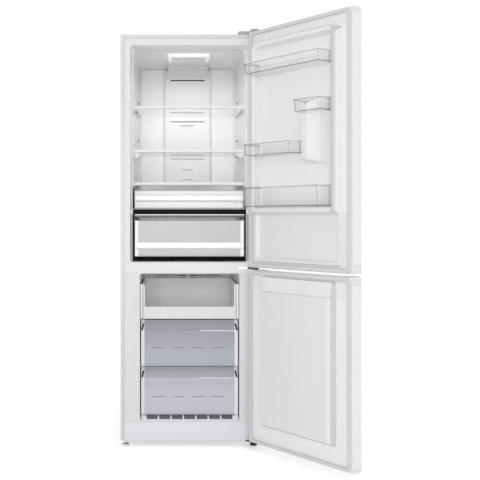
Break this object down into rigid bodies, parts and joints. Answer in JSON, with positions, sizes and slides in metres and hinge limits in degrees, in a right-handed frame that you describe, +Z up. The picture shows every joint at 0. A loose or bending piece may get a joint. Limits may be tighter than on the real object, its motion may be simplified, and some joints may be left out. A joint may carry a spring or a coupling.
{
  "type": "bottom freezer refrigerator",
  "caption": "Free-standing white bottom freezer refrigerator with both doors open, glass shelves, drawers and door racks above and freezer drawers below.",
  "frame": {"origin": "bottom centre of the bounding box, on the floor, with both doors standing open", "axes": "+Z up; -Y towards the person at the open front; +X to that person's right, where the hinges are"},
  "size_m": [0.9324, 1.1096, 1.7905],
  "materials": {
    "white_steel": "gloss",
    "zinc_steel": "satin",
    "black_steel": "satin",
    "foam": "matte",
    "liner": "satin",
    "white_plastic": "satin",
    "grey_plastic": "satin",
    "gasket": "matte",
    "black_plastic": "satin",
    "black_trim": "gloss",
    "clear_plastic": "gloss",
    "smoke_plastic": "gloss",
    "shelf_glass": "gloss",
    "aluminium": "satin"
  },
  "bodies": {
    "cabinet": {"cabinet_shell": "white_steel", "back_panel": "zinc_steel", "cabinet_foam": "foam", "fridge_liner": "liner", "freezer_liner": "liner", "middle_beam": "white_steel", "lower_front_panel": "white_steel", "base_frame": "zinc_steel", "compressor": "black_steel", "evaporation_tray": "black_plastic", "cord_gland": "black_plastic", "front_foot_left": "white_plastic", "front_foot_right": "black_plastic", "top_hinge": "zinc_steel", "top_hinge_cover": "grey_plastic", "middle_hinge": "zinc_steel", "lower_hinge": "black_steel", "lamp_housing": "white_plastic", "lamp_lens": "clear_plastic", "rear_duct_cover": "white_plastic", "upper_shelf_glass": "shelf_glass", "upper_shelf_trim": "white_plastic", "lower_shelf_glass": "shelf_glass", "lower_shelf_trim": "white_plastic", "chiller_shelf_glass": "shelf_glass", "chiller_shelf_trim": "white_plastic", "crisper_cover_glass": "shelf_glass", "crisper_cover_trim": "black_trim", "drawer_surround": "black_trim", "freezer_rear_cover": "white_plastic", "evaporator": "aluminium", "sill_grille": "white_plastic"},
    "left_roller": {"rear_roller_left": "black_plastic"},
    "right_roller": {"rear_roller_right": "black_plastic"},
    "fan": {"evaporator_fan": "black_plastic"},
    "chiller_drawer": {"chiller_tray": "clear_plastic", "chiller_front": "white_plastic"},
    "crisper_drawer": {"crisper_bin": "clear_plastic", "crisper_front": "white_plastic"},
    "freezer_tray": {"freezer_top_tray": "white_plastic"},
    "upper_freezer_drawer": {"freezer_drawer_upper_bin": "clear_plastic", "freezer_drawer_upper_front": "smoke_plastic"},
    "lower_freezer_drawer": {"freezer_drawer_lower_bin": "clear_plastic", "freezer_drawer_lower_front": "smoke_plastic"},
    "upper_door": {"upper_door_skin": "white_steel", "upper_door_foam": "foam", "upper_door_liner": "liner", "upper_door_gasket": "gasket", "upper_door_top_cap": "white_plastic", "upper_door_bottom_cap": "white_plastic", "bottle_rack": "clear_plastic", "hinge_side_rack": "clear_plastic", "free_side_rack": "clear_plastic", "top_rack": "clear_plastic"},
    "lower_door": {"lower_door_skin": "white_steel", "lower_door_foam": "foam", "lower_door_liner": "liner", "lower_door_gasket": "gasket", "lower_door_top_cap": "white_plastic", "lower_door_bottom_cap": "white_plastic"}
  },
  "joints": [
    {"name": "upper_door_hinge", "type": "hinge", "parent": "cabinet", "child": "upper_door", "pos_m": [0.11331, -0.06421, 1.27], "axis": [0, 0, 1], "range_deg": [-125, 5]},
    {"name": "lower_door_hinge", "type": "hinge", "parent": "cabinet", "child": "lower_door", "pos_m": [0.11331, -0.06421, 0.4], "axis": [0, 0, 1], "range_deg": [-125, 5]},
    {"name": "chiller_slide", "type": "slide", "parent": "cabinet", "child": "chiller_drawer", "axis": [0, -1, 0], "range_m": [0, 0.22]},
    {"name": "crisper_slide", "type": "slide", "parent": "cabinet", "child": "crisper_drawer", "axis": [0, -1, 0], "range_m": [0, 0.3]},
    {"name": "freezer_tray_slide", "type": "slide", "parent": "cabinet", "child": "freezer_tray", "axis": [0, -1, 0], "range_m": [0, 0.3]},
    {"name": "upper_freezer_drawer_slide", "type": "slide", "parent": "cabinet", "child": "upper_freezer_drawer", "axis": [0, -1, 0], "range_m": [0, 0.3]},
    {"name": "lower_freezer_drawer_slide", "type": "slide", "parent": "cabinet", "child": "lower_freezer_drawer", "axis": [0, -1, 0], "range_m": [0, 0.22]},
    {"name": "left_roller_spin", "type": "hinge", "parent": "cabinet", "child": "left_roller", "pos_m": [-0.41819, 0.50979, 0.015], "axis": [1, 0, 0], "continuous": true},
    {"name": "right_roller_spin", "type": "hinge", "parent": "cabinet", "child": "right_roller", "pos_m": [0.08081, 0.50979, 0.015], "axis": [1, 0, 0], "continuous": true},
    {"name": "fan_spin", "type": "hinge", "parent": "cabinet", "child": "fan", "pos_m": [-0.16869, 0.42679, 0.693], "axis": [0, 1, 0], "continuous": true}
  ]
}
